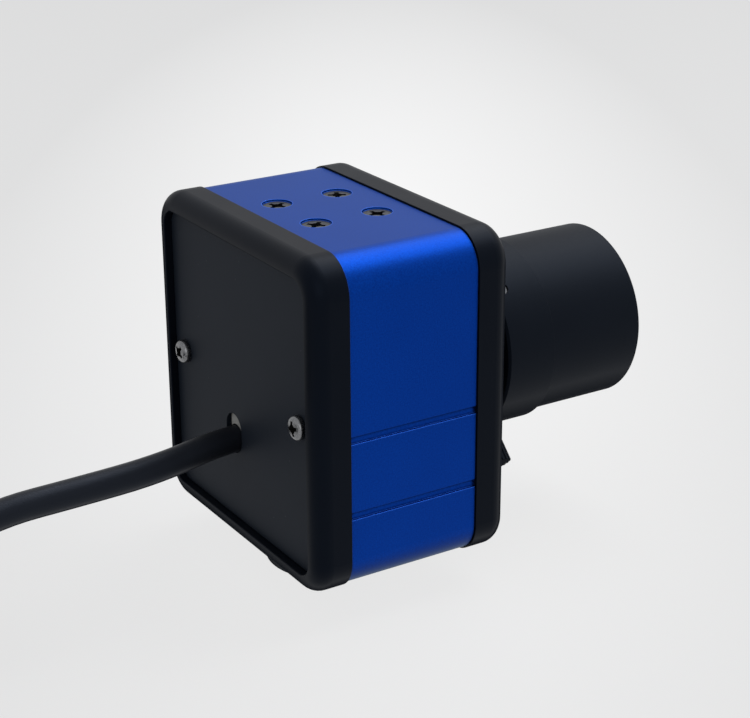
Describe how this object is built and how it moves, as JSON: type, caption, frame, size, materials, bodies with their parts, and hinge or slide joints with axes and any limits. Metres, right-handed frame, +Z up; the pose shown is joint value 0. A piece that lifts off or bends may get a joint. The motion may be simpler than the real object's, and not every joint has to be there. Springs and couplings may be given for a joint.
{
  "type": "machine vision camera",
  "caption": "Box camera for machine vision: blue sleeve between black end frames, manual lens in front, cable out of the rear plate, tripod thread below.",
  "frame": {"origin": "mouth of the tripod thread, in the middle of the boss under the sleeve", "axes": "+Z up, the lens looks along -Y, the cable leaves along +Y, +X is the side away from the picture's blue side"},
  "size_m": [0.0746, 0.2019, 0.0618],
  "materials": {
    "blue_anodised": "bead-blasted, blue anodised",
    "black_frame": "fine matt, moulded",
    "black_plate": "matt black, fine texture",
    "black_lens": "matt black anodised, turned",
    "bright_screw": "nickel plated",
    "black_screw": "black zinc",
    "bare_metal": "machined",
    "spring_steel": "oiled",
    "glass": "coated, polished",
    "board": "solder resist",
    "chip": "moulded package",
    "black_nylon": "moulded",
    "white_nylon": "moulded",
    "wire": "soft jacket",
    "cable_jacket": "semi-matt jacket",
    "plug_shell": "nickel plated"
  },
  "bodies": {
    "housing": {"body_sleeve": "blue_anodised", "rear_frame": "black_frame", "front_frame": "black_frame", "rear_plate": "black_plate", "front_plate": "black_plate", "rear_plate_screws": "bright_screw", "front_plate_screws": "bright_screw", "top_nut_plate": "bare_metal", "bottom_nut_plate": "bare_metal", "top_screws": "black_screw", "tripod_boss": "black_lens", "boss_screws": "black_screw", "mount_ring": "black_lens", "lens_body": "black_lens", "iris_diaphragm": "black_lens", "focus_snap_ring": "spring_steel", "board_standoffs": "bare_metal", "sensor_board": "board", "image_sensor": "chip", "sensor_window": "glass", "filter_holder": "black_nylon", "cut_filter": "glass", "board_spacers": "bare_metal", "interface_board": "board", "board_screws": "bright_screw", "board_header": "black_nylon", "board_receptacle": "black_nylon", "processor_chip": "chip", "memory_chip": "chip", "cable_socket": "white_nylon", "cable_wires": "wire", "inner_tie": "white_nylon", "cable": "cable_jacket", "cable_coil": "cable_jacket", "coil_tie": "black_nylon", "cable_tail": "cable_jacket", "plug_body": "cable_jacket", "plug_shell": "plug_shell", "plug_tongue": "white_nylon"},
    "iris": {"iris_ring": "black_lens"},
    "iris_lock": {"iris_lock_screw": "black_lens"},
    "focus": {"focus_ring": "black_lens", "focus_ring_screw": "black_screw"},
    "barrel": {"front_barrel": "black_lens", "front_element": "glass", "front_lock_ring": "black_lens", "middle_element": "glass", "lens_spacer": "black_lens", "rear_element": "glass", "rear_lock_ring": "black_lens"}
  },
  "joints": [
    {"name": "iris_turn", "type": "hinge", "parent": "housing", "child": "iris", "pos_m": [0, -0.02265, 0.034], "axis": [0, 1, 0], "range_deg": [-40, 40]},
    {"name": "lock_screw_turn", "type": "hinge", "parent": "iris", "child": "iris_lock", "pos_m": [-0.0145, -0.02265, 0.0195], "axis": [-0.7071, 0, -0.7071], "range_deg": [0, 360]},
    {"name": "focus_turn", "type": "hinge", "parent": "housing", "child": "focus", "pos_m": [0, -0.03, 0.034], "axis": [0, 1, 0], "range_deg": [0, 180]},
    {"name": "focus_travel", "type": "slide", "parent": "housing", "child": "barrel", "axis": [0, -1, 0], "range_m": [0, 0.0012]}
  ],
  "couplings": [
    {"joint": "focus_turn", "follows": "focus_travel", "rad_per_m": 2618}
  ]
}
